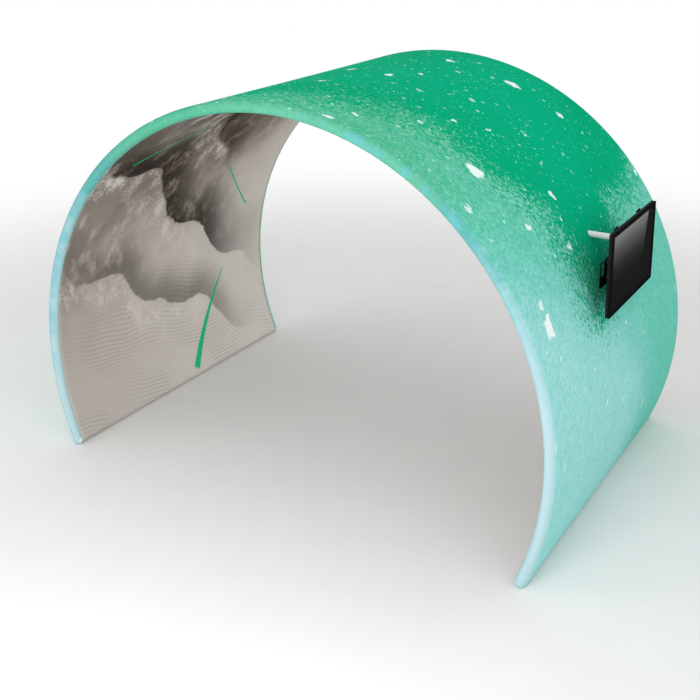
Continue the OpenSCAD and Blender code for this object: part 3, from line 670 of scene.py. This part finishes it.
# Rows of stitches: their distance from the panel's middle line, and from the crown to each foot
OUTER_SIDE_ROW = HOOP_Y + math.pi * WRAP_R - 0.004
OUTER_FOOT_ROWS = (FOOT_RUN - 0.0085, FOOT_RUN - 0.0015)
INNER_SIDE_ROW = HOOP_Y - 0.005
INNER_FOOT_ROWS = (FOOT_ANGLE * INNER_R - 0.0085,)

GREEN_AT = -0.65  # the print's green is centred here along the front rim, left of the crown
# Flecks, from small to large: spacing, largest radius, share of the cells by density and
# anywhere, shift, raggedness, stretch, softness, strength, colour
FLECKS = (
    (0.022, 0.0055, 1.0, 0.0, (0.1, 0.6, 0), 1.1, 1.3, 0.4, 0.6, srgb(126, 234, 198)),
    (0.045, 0.0085, 0.8, 0.0, (0.3, 0.7, 0), 1.1, 1.3, 0.4, 0.85, srgb(150, 240, 210)),
    (0.11, 0.015, 0.45, 0.1, (2.1, 1.7, 0), 1.2, 1.3, 0.6, 1.0, srgb(190, 246, 230)),
    (0.31, 0.034, 0.0, 0.42, (7.4, 4.2, 0), 1.3, 1.3, 0.4, 1.3, srgb(228, 249, 246)),
    (0.62, 0.056, 0.0, 0.45, (4.35, 2.6, 0), 1.1, 1.7, 0.4, 1.5, srgb(236, 250, 250)),
)


def print_edge(look, flat, across, far):
    """How far a point lies past the green on its way to a foot, and 1 where the print is pale."""
    wander = look.line(look.noise(look.moved(flat, shift=(4, 1, 0)), 1.5, 4.0, 0.55), 0.6, -0.3)
    reach = look.math("SQRT", look.math("MAXIMUM", look.math("SUBTRACT", far, 0.22), 0.0))
    front = look.math("ADD", look.math("SUBTRACT", look.line(reach, 0.63, -1.27), across), wander)
    tongue = look.step(look.math("ABSOLUTE", look.math("ADD", across, 0.15)), 0.75, 0.0, 2.3, 2.85)
    down = look.math("ADD", look.math("SUBTRACT", far, tongue), wander)
    return down, look.math("MAXIMUM", look.step(front, -0.38, 0.5), look.step(down, -0.3, 0.4))


def pale_hue(look, flat, across, far, grit):
    """The pale part of the print: mint near the green, cyan towards the front foot, finely mottled."""
    slant = look.line(look.math("ADD", across, 1.0), -0.55, far)
    cyan = look.times(look.step(slant, 1.6, 2.85), look.step(across, 0.0, 1.0, 1.0, 0.3))
    cyan = look.math("MAXIMUM", cyan, look.step(far, 1.3, 2.4, 0.08, 0.36))
    veil = look.noise(look.moved(flat, (0.5, 1.2, 1), 0.6, (3, 1, 0)), 3.2, 5.0, 0.6)
    cyan = look.line(veil, 0.3, look.math("SUBTRACT", cyan, 0.15))
    hue = look.ramp(
        cyan,
        [
            (0.0, srgb(92, 188, 144)),
            (0.34, srgb(114, 206, 188)),
            (0.66, srgb(132, 211, 205)),
            (1.0, srgb(165, 224, 225)),
        ],
    )
    mottle = look.times(look.step(grit, 0.35, -0.4, 0.0, 0.8), look.step(far, 1.5, 3.0, 0.8, 0.35))
    hue = look.mix(mottle, hue, srgb(40, 180, 134))
    lift = look.times(look.step(grit, 0.1, 0.7), look.step(far, 2.6, 1.6, 0.35, 0.5))
    return look.mix(lift, hue, srgb(154, 219, 194))


def flecked(look, colour, flat, across, spray, down):
    """The colour with flecks of five sizes, in clusters where the spray is dense."""
    thin = look.step(down, 0.3, 1.1, 1.0, 0.35)
    dense = look.line(spray, 0.5, look.step(across, 0.6, -0.6, 0.02, 0.32))
    clusters = look.noise(look.moved(flat, shift=(2, 9, 0)), 3.4, 3.0, 0.6)
    dense = look.times(dense, look.step(clusters, 0.36, 0.64, 0.25, 1.5))
    for spacing, size, in_spray, anywhere, *shape, strength, white in FLECKS:
        share = look.line(dense, in_spray, anywhere)
        fleck = look.flecks(flat, spacing, size, share, *shape)
        colour = look.mix(look.times(fleck, strength, thin), colour, white)
    return colour


def rim_tinted(look, colour, flat, run, across, far, coarse):
    """The colour with the front rim's colour over it, which pales down both legs, and blue patches on it.
    That rim colour is partly print and partly painted shade, set darker and greyer.
    """
    rim = look.step(across, -HOOP_Y + 0.004, -HOOP_Y - 0.034)
    rim_run = look.math("ADD", look.math("ABSOLUTE", run), look.line(coarse, 0.8, -0.4))
    # The rim's colour: partly print, partly painted shade that makes the rim darker and greyer.
    rim_tint_and_shade = look.ramp(
        look.math("DIVIDE", rim_run, 3.0),
        [
            (0.33, srgb(92, 163, 138)),
            (0.46, srgb(84, 157, 153)),
            (0.62, srgb(140, 182, 186)),
            (0.8, srgb(163, 192, 198)),
        ],
    )
    colour = look.mix(look.times(rim, look.step(rim_run, 0.5, 1.5, 0.75, 1.0)), colour, rim_tint_and_shade)
    round_rim = (look.step(across, -HOOP_Y, -HOOP_Y - 0.03), look.step(across, -HOOP_Y - 0.1, -HOOP_Y - 0.06))
    down_leg = (look.step(far, 0.7, 1.3), look.step(far, 2.4, 1.9))
    patches = look.step(look.noise(look.moved(flat, (1, 0.4, 1)), 9.0, 2.0), 0.42, 0.62)
    return look.mix(look.times(patches, *round_rim, *down_leg, 0.6), colour, srgb(98, 170, 184))


def outer_print():
    """Fine spray over green that pales towards the front rim and the feet: a gradient with flecks. The front
    rim's colour is partly painted shade.
    """
    look = Look("outer_print")
    flat = look.flat()
    run, across, _ = look.split(flat)
    far = look.math("ABSOLUTE", look.math("SUBTRACT", run, GREEN_AT))
    down, pale = print_edge(look, flat, across, far)
    band = look.times(pale, look.math("SUBTRACT", 1.0, pale), 4.0)
    spray = look.math("MAXIMUM", band, look.times(look.step(far, 2.5, 1.5), 0.45))

    fine = look.noise(look.moved(flat, (0.75, 1, 1), 0.4), 50.0, 3.0, 0.78)
    coarse = look.noise(flat, 13.0, 3.0, 0.6)
    grit = look.line(fine, 3.4, look.line(coarse, 1.3, -2.35))
    share = look.step(look.math("ADD", look.times(grit, spray), pale), 0.26, 0.74)
    depth = look.noise(look.moved(flat, shift=(8, 2, 0)), 1.1, 2.0)
    green = look.mix(look.step(depth, 0.35, 0.7), srgb(0, 176, 130), srgb(0, 169, 120))

    colour = look.mix(share, green, pale_hue(look, flat, across, far, grit))
    colour = flecked(look, colour, flat, across, spray, down)
    colour = rim_tinted(look, colour, flat, run, across, far, coarse)
    colour = sewn(look, colour, run, across, OUTER_SIDE_ROW, OUTER_FOOT_ROWS, srgb(190, 232, 230), 0.5)
    look.cloth(colour, flat)
    return look.material


def crest(look, run, across, lean, at, width, middle, half_length):
    """A wind-blown crest: dark along a sharp edge, and fading behind it. It leans across the wall."""
    c, s = math.cos(lean), math.sin(lean)
    over = look.line(run, c, look.line(across, s, -at))
    along = look.line(run, -s, look.line(across, c, -middle))
    sweep = look.noise(look.join(along, at), 1.3, 2.0, 0.4)
    rough = look.noise(look.join(along, over), 10.0, 5.0, 0.65)
    over = look.math("ADD", over, look.line(sweep, 0.75, -0.375))
    over = look.math("ADD", over, look.line(rough, 0.07, -0.035))
    end = look.math("DIVIDE", look.math("ABSOLUTE", along), half_length)
    reach = look.line(look.noise(look.join(along, over), 2.6, 3.0, 0.6), width, 0.55 * width)
    fall = look.math("DIVIDE", over, reach)
    dark = look.times(look.step(over, -0.006, 0.012), look.step(fall, 1.0, 0.1))
    plume = look.times(look.step(over, -0.34, -0.02), look.step(over, 0.0, -0.03))
    fade = look.step(end, 1.0, 0.45)
    return look.times(dark, fade), look.times(plume, fade)


def stroke(look, run, across, start, end, width, tip):
    """A slender straight stroke that tapers from its start to its end."""
    dx, dy = end[0] - start[0], end[1] - start[1]
    length = math.hypot(dx, dy)
    a = look.line(run, dx / length**2, -(start[0] * dx + start[1] * dy) / length**2)
    share = look.line(across, dy / length**2, a)
    b = look.line(run, dy / length, -(start[0] * dy - start[1] * dx) / length)
    off = look.math("ABSOLUTE", look.line(across, -dx / length, b))
    half = look.line(share, (tip - width) / 2, width / 2)
    inside = look.step(off, half, look.times(half, 0.6))
    return look.times(inside, look.step(share, 0.0, 0.02), look.step(share, 1.0, 0.97))


RIPPLE = 0.03  # from one ripple of the inner print to the next
CRESTS = (  # lean, distance, width, middle, half length, strength: three on each wall
    (0.62, -1.62, 0.55, 0.9, 1.7, 0.94),
    (0.5, -2.38, 0.34, 1.1, 1.3, 0.6),
    (0.72, -0.95, 0.34, 0.5, 1.1, 0.75),
    (0.66, 1.2, 0.5, -0.9, 1.6, 0.94),
    (0.5, 2.1, 0.34, -1.1, 1.3, 0.6),
    (0.8, 0.4, 0.3, -0.8, 1.1, 0.75),
)
STROKES = (  # start, end, width there and at the tip
    ((-2.15, 0.86), (-1.66, 0.4), 0.018, 0.012),
    ((-1.3, -0.86), (-0.98, -0.28), 0.018, 0.012),
    ((-3.26, 0.1), (-2.6, 0.62), 0.075, 0.012),
    ((2.4, -0.3), (1.9, 0.15), 0.018, 0.012),
    ((3.24, 0.5), (2.6, 0.92), 0.075, 0.012),
)


def drifts(look, flat, run, across, up, middle):
    """Soft tones of snow or sand that darken up the wall, with ripples near the foot, and painted shade that
    greys the wall towards its front edge.
    """
    cloud = look.noise(look.moved(flat, (0.8, 1.1, 1), -0.4, (2, 5, 0)), 1.3, 6.0, 0.6, 0.5)
    drift = look.times(look.math("SUBTRACT", 0.5, cloud), look.line(middle, 0.75, 0.16))
    colour = look.ramp(
        look.math("ADD", look.line(across, -0.2, up), drift),
        [
            (0.0, srgb(210, 205, 198)),
            (0.28, srgb(202, 195, 187)),
            (0.42, srgb(186, 178, 169)),
            (0.55, srgb(148, 138, 128)),
            (0.72, srgb(114, 104, 95)),
            (1.0, srgb(92, 83, 75)),
        ],
    )
    # Painted shade: the wall greys and darkens towards its front edge.
    colour = look.mix(look.step(across, 0.3, -1.2, 0.0, 0.45), colour, srgb(138, 134, 127))
    bend = look.noise(look.moved(flat, (0.6, 0.6, 1)), 1.4, 2.0)
    wave = look.line(bend, 0.35, look.line(across, 0.16, run))
    beat = look.math("SINE", look.times(wave, 2 * math.pi / RIPPLE))
    patch = look.step(look.noise(look.moved(flat, shift=(6, 2, 0)), 2.6, 3.0), 0.38, 0.6)
    ridge = look.times(look.step(beat, -0.2, 1.0), patch, look.step(up, 0.36, 0.14), 0.4)
    return look.mix(ridge, colour, srgb(150, 142, 133))


def inner_print():
    """Generic wind-blown drifts, ripples and a few green strokes in sepia tones, with painted shade towards
    each wall's front edge and a paler lower back that is partly painted light.
    """
    look = Look("inner_print")
    flat = look.flat()
    run, across, _ = look.split(flat)
    up = look.math("SUBTRACT", 1.0, look.math("DIVIDE", look.math("ABSOLUTE", run), INNER_R * FOOT_ANGLE))
    middle = look.times(look.step(up, 0.12, 0.4), look.step(up, 0.95, 0.5))
    colour = drifts(look, flat, run, across, up, middle)

    grain = look.noise(flat, 46.0, 4.0, 0.75)
    soft = look.noise(look.moved(flat, (0.7, 1, 1), 0.9, (1, 8, 0)), 5.5, 5.0, 0.65)
    for *shape, strength in CRESTS:
        dark, plume = crest(look, run, across, *shape)
        powder = look.times(plume, look.step(look.line(grain, 0.7, soft), 0.78, 1.0), 0.75)
        colour = look.mix(powder, colour, srgb(222, 217, 210))
        body = look.mix(look.step(soft, 0.42, 0.62), srgb(42, 35, 31), srgb(78, 68, 61))
        colour = look.mix(look.times(dark, strength), colour, body)
    # Partly pale snow in the print, partly painted light: the lower back of each wall is made paler.
    pale_snow_and_painted_light = look.times(look.step(across, 0.2, 1.0, 0.0, 0.34), look.step(up, 0.72, 0.5))
    colour = look.mix(pale_snow_and_painted_light, colour, srgb(228, 223, 216))
    glow = look.times(look.step(soft, 0.5, 0.75), middle, 0.5)
    colour = look.mix(glow, colour, srgb(214, 208, 200))
    for shape in STROKES:
        green = look.times(stroke(look, run, across, *shape), 0.97)
        colour = look.mix(green, colour, srgb(0, 186, 130))
    colour = sewn(look, colour, run, across, INNER_SIDE_ROW, INNER_FOOT_ROWS, srgb(206, 200, 192), 0.4)
    look.cloth(colour, flat)
    return look.material


def thread(name, colour):
    """Twisted thread or tape: fine slanting ridges over an even colour."""
    look = Look(name)
    ridges = look.wave(look.place(), "DIAGONAL", 420.0)
    worn = look.noise(look.place(), 30.0, 3.0)
    look.surface(
        Base_Color=look.mix(look.times(worn, 0.35), colour, shaded(colour, 0.75)),
        Roughness=0.85,
        Sheen_Weight=0.15,
        Normal=look.bump(ridges, 0.0002, 0.6),
    )
    return look.material


def painted(name, colour, roughness, grain=900.0, depth=0.00004, gloss=0.5):
    """Powder coat: orange peel, and a gloss that varies a little."""
    look = Look(name)
    place = look.place()
    peel = look.noise(place, grain, 2.0)
    patch = look.noise(place, 14.0, 4.0, 0.6)
    look.surface(
        Base_Color=look.mix(look.step(patch, 0.35, 0.75, 0.0, 0.3), colour, shaded(colour, 0.8)),
        Roughness=look.line(patch, 0.16, roughness - 0.08),
        Specular_IOR_Level=gloss,
        Normal=look.bump(peel, depth, 0.6),
    )
    return look.material


def moulded(name, colour, roughness, grain=2600.0, depth=0.00003, gloss=0.5):
    """Moulded plastic with a fine spark-eroded texture."""
    look = Look(name)
    place = look.place()
    fine = look.noise(place, grain, 3.0, 0.7)
    patch = look.noise(place, 9.0, 3.0)
    look.surface(
        Base_Color=look.mix(look.step(patch, 0.3, 0.8, 0.0, 0.25), colour, shaded(colour, 1.35)),
        Roughness=look.line(fine, 0.14, roughness - 0.07),
        Specular_IOR_Level=gloss,
        Normal=look.bump(fine, depth, 0.7),
    )
    return look.material


def metal(name, colour, roughness, streak=(1, 1, 1)):
    """Bare or plated metal with fine drawing lines and a varying gloss."""
    look = Look(name)
    wear = 0.12
    place = look.place()
    lines = look.noise(look.moved(place, streak), 700.0, 3.0, 0.6)
    patch = look.noise(place, 22.0, 4.0, 0.6)
    gloss = look.line(lines, wear, roughness - wear / 2)
    look.surface(
        Base_Color=look.mix(look.step(patch, 0.4, 0.8, 0.0, 0.4), colour, shaded(colour, 0.82)),
        Metallic=1.0,
        Roughness=look.math("ADD", gloss, look.line(patch, wear, -wear / 2)),
        Normal=look.bump(lines, 0.00003, 0.5),
    )
    return look.material


def screen_glass():
    """A display that is off: black, with a painted reflection of a lit room: soft grey on its upper part."""
    look = Look("screen_glass")
    low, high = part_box("display_screen")
    place = look.place()
    _, along, up = look.split(place)
    rise = look.math("DIVIDE", look.math("SUBTRACT", up, low.z), high.z - low.z)
    share = look.math("DIVIDE", look.math("SUBTRACT", along, low.y), high.y - low.y)
    smear = look.noise(look.moved(place, (1, 1, 2)), 6.0, 4.0, 0.6)
    # Painted reflection: the screen's colour goes from black low down to light grey at its top.
    colour = look.ramp(
        look.line(smear, 0.03, rise),
        [
            (0.0, srgb(15, 15, 16)),
            (0.4, srgb(20, 20, 20)),
            (0.6, srgb(42, 42, 43)),
            (0.82, srgb(88, 88, 88)),
            (1.0, srgb(132, 132, 131)),
        ],
    )
    # The painted reflection ends at a slanted line short of the far side, which stays black.
    edge = look.step(look.line(rise, -0.16, share), 0.7, 0.66)
    colour = look.mix(edge, srgb(14, 14, 15), colour)
    look.surface(
        Base_Color=colour,
        Roughness=look.line(smear, 0.1, 0.2),
        Specular_IOR_Level=0.001,
    )
    return look.material


outer_look, inner_look = outer_print(), inner_print()
WHITE_PAINT = painted("arm_white_paint", srgb(226, 226, 224), 0.38)
MOUNT_PAINT = painted("mount_black_paint", srgb(20, 20, 22), 0.6, gloss=0.06)
CONNECTOR_PAINT = painted("connector_grey_paint", srgb(96, 98, 102), 0.5, 260.0, 0.0001)
ALUMINIUM = metal("tube_aluminium", srgb(206, 208, 210), 0.34, (1, 0.02, 1))
ANCHOR_METAL = metal("anchor_cast_metal", srgb(168, 170, 174), 0.45)
STEEL = metal("zinc_plated_steel", srgb(172, 174, 178), 0.3)
DARK_STEEL = metal("black_oxide_steel", srgb(64, 64, 68), 0.38)
SPRING_STEEL = metal("spring_steel", srgb(186, 188, 194), 0.26)
ZIP_METAL = metal("zipper_slider_metal", srgb(160, 161, 165), 0.32)
KNOB = moulded("knob_black_plastic", srgb(30, 30, 32), 0.55, 1500.0, 0.00006)
BACK_COVER = moulded("display_back_plastic", srgb(26, 26, 27), 0.65, 1800.0, 0.00006, 0.04)
BEZEL = moulded("display_bezel_plastic", srgb(15, 15, 16), 0.6, 3200.0, 0.00001, 0.002)
BUTTON = moulded("power_button_plastic", srgb(60, 60, 63), 0.42)
INLET = moulded("power_inlet_plastic", srgb(38, 38, 40), 0.5)
GLASS = screen_glass()
TAPE = thread("zipper_tape_cloth", srgb(172, 166, 158))
TEETH = moulded("zipper_tooth_plastic", srgb(196, 190, 182), 0.4, 2000.0, 0.00002)
PIPING = thread("seam_piping_thread", srgb(112, 200, 190))
BINDING = thread("arm_hole_binding_cloth", srgb(24, 150, 108))

LOOKS = {
    "zipper_tapes": TAPE,
    "zipper_teeth": TEETH,
    "zipper_slider": ZIP_METAL,
    "zipper_pull": ZIP_METAL,
    "frame_screws": DARK_STEEL,
    "arm_anchor_block": ANCHOR_METAL,
    "arm_stud": STEEL,
    "mount_arm": WHITE_PAINT,
    "adaptor_plate": MOUNT_PAINT,
    "adaptor_bolts": STEEL,
    "wall_plate": MOUNT_PAINT,
    "front_hook_bracket": MOUNT_PAINT,
    "back_hook_bracket": MOUNT_PAINT,
    "front_tilt_rail": MOUNT_PAINT,
    "back_tilt_rail": MOUNT_PAINT,
    "tilt_pivot_bolts": STEEL,
    "front_tilt_knob": KNOB,
    "back_tilt_knob": KNOB,
    "vesa_screws": DARK_STEEL,
    "display_back_cover": BACK_COVER,
    "display_bezel": BEZEL,
    "display_screen": GLASS,
    "display_power_button": BUTTON,
    "display_power_inlet": INLET,
}
KINDS = {"_tube": ALUMINIUM, "_corner": CONNECTOR_PAINT, "_tee": CONNECTOR_PAINT, "_button": SPRING_STEEL}


def dress(piece, material):
    piece.data.materials.clear()
    piece.data.materials.append(material)


for name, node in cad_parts.items():
    kind = next((KINDS[k] for k in KINDS if name.endswith(k)), None)
    dress(node, LOOKS.get(name, kind))

# Each new piece's material, the body that it rides on, and the node that it takes the place of

for piece, material, slot, replaced in (
    (outer_panel, outer_look, "outer_fabric", "outer_fabric_panel"),
    (inner_panel, inner_look, "inner_fabric", "inner_fabric_panel"),
    (teeth_rows, TEETH, "zipper_plastic", "zipper_teeth"),
    (front_piping, PIPING, "outer_fabric", None),
    (back_piping, PIPING, "outer_fabric", None),
    (hole_binding, BINDING, "outer_fabric", None),
    (windowed_plate, MOUNT_PAINT, "mount_paint", "wall_plate"),
):
    dress(piece, material)
    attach(piece, "arch")
    if replaced:
        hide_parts(replaced)

# Camera, at the photograph's viewing angle

IMAGE = 700  # the photograph's width and height
FOCAL_PIXELS = 1099.4
PRINCIPAL = (363.08, 208.34)
SENSOR = 36.0
CAMERA_AT = Vector((3.3815, -5.7956, 3.487))
CAMERA_TURN, CAMERA_DOWN, CAMERA_ROLL = 0.5321, 0.2805, -0.0059  # radians


def photo_camera():
    forward = Vector(
        (
            -math.sin(CAMERA_TURN) * math.cos(CAMERA_DOWN),
            math.cos(CAMERA_TURN) * math.cos(CAMERA_DOWN),
            -math.sin(CAMERA_DOWN),
        )
    )
    right = forward.cross(Vector((0, 0, 1))).normalized()
    up = right.cross(forward)
    c, s = math.cos(CAMERA_ROLL), math.sin(CAMERA_ROLL)
    turned_right, turned_up = c * right + s * up, c * up - s * right
    data = bpy.data.cameras.new("photo_camera")
    data.sensor_fit = "HORIZONTAL"
    data.sensor_width = SENSOR
    data.lens = FOCAL_PIXELS * SENSOR / IMAGE
    data.shift_x = (IMAGE / 2 - PRINCIPAL[0]) / IMAGE
    data.shift_y = (PRINCIPAL[1] - IMAGE / 2) / IMAGE
    data.clip_start, data.clip_end = 0.05, 200.0
    camera = new_object("photo_camera", data)
    axes = Matrix((turned_right, turned_up, -forward)).transposed().to_4x4()
    camera.matrix_world = Matrix.Translation(CAMERA_AT) @ axes
    bpy.context.scene.camera = camera


photo_camera()

# Floor, backdrop and soft studio light

FLOOR_HALF = 60.0
FLOOR_FADE = (3.5, 8.0)  # the floor turns into the white backdrop between these distances


def seen_direct(nodes):
    """1 for what the camera, a reflection or a clear surface shows."""
    path = nodes.node("LightPath").outputs
    seen = nodes.math("MAXIMUM", path["Is Camera Ray"], path["Is Glossy Ray"])
    return nodes.math("MAXIMUM", seen, path["Is Transmission Ray"])


def pale_floor():
    look = Look("pale_floor")
    place = look.place()
    grain = look.noise(place, 3.0, 5.0, 0.6)
    look.surface(
        Base_Color=look.mix(grain, srgb(226, 226, 226), srgb(232, 232, 231)),
        Roughness=0.75,
        Specular_IOR_Level=0.2,
    )
    away = look.node("VectorMath", operation="LENGTH")
    look.put(away.inputs[0], place)
    share = look.times(look.step(away.outputs["Value"], *FLOOR_FADE), seen_direct(look))
    white = look.node("Emission")
    white.inputs["Strength"].default_value = 1.0
    look.put(look.output.inputs[0], look.blended(share, look.shader.outputs[0], white.outputs[0]))
    corners = [(x * FLOOR_HALF, y * FLOOR_HALF, 0) for x, y in ((-1, -1), (1, -1), (1, 1), (-1, 1))]
    floor = mesh_piece("floor", corners, [(0, 1, 2, 3)], smooth=False)
    dress(floor, look.material)


def soft_world(strength):
    """Even light from all round, and white where the surroundings are seen."""
    world = bpy.data.worlds.new("studio")
    world.use_nodes = True
    nodes = Nodes(world.node_tree)
    backgrounds = []
    for level in (strength, 1.0):
        made = nodes.node("Background")
        made.inputs["Color"].default_value = (1, 1, 1, 1)
        made.inputs["Strength"].default_value = level
        backgrounds.append(made.outputs[0])
    nodes.put(nodes.node("OutputWorld").inputs[0], nodes.blended(seen_direct(nodes), *backgrounds))
    bpy.context.scene.world = world


def area_light(name, at, target, size, watts):
    """A round soft lamp that faces its target."""
    data = bpy.data.lights.new(name, "AREA")
    data.shape, data.size, data.energy = "DISK", size, watts
    lamp = new_object(name, data)
    lamp.location = at
    lamp.rotation_mode = "QUATERNION"
    lamp.rotation_quaternion = (Vector(target) - Vector(at)).to_track_quat("-Z", "Y")


pale_floor()
soft_world(0.86)
area_light("key_light", (4.5, -4.5, 4.5), (0.8, 0, 0.9), 8.0, 84)
area_light("fill_light", (-5.5, -5.0, 4.0), (0, 0, 1.0), 5.0, 50)
area_light("inside_light", (1.0, -5.0, 1.8), (-1.4, 0.7, 0.9), 2.5, 112)

bpy.context.scene.view_settings.view_transform = "Standard"
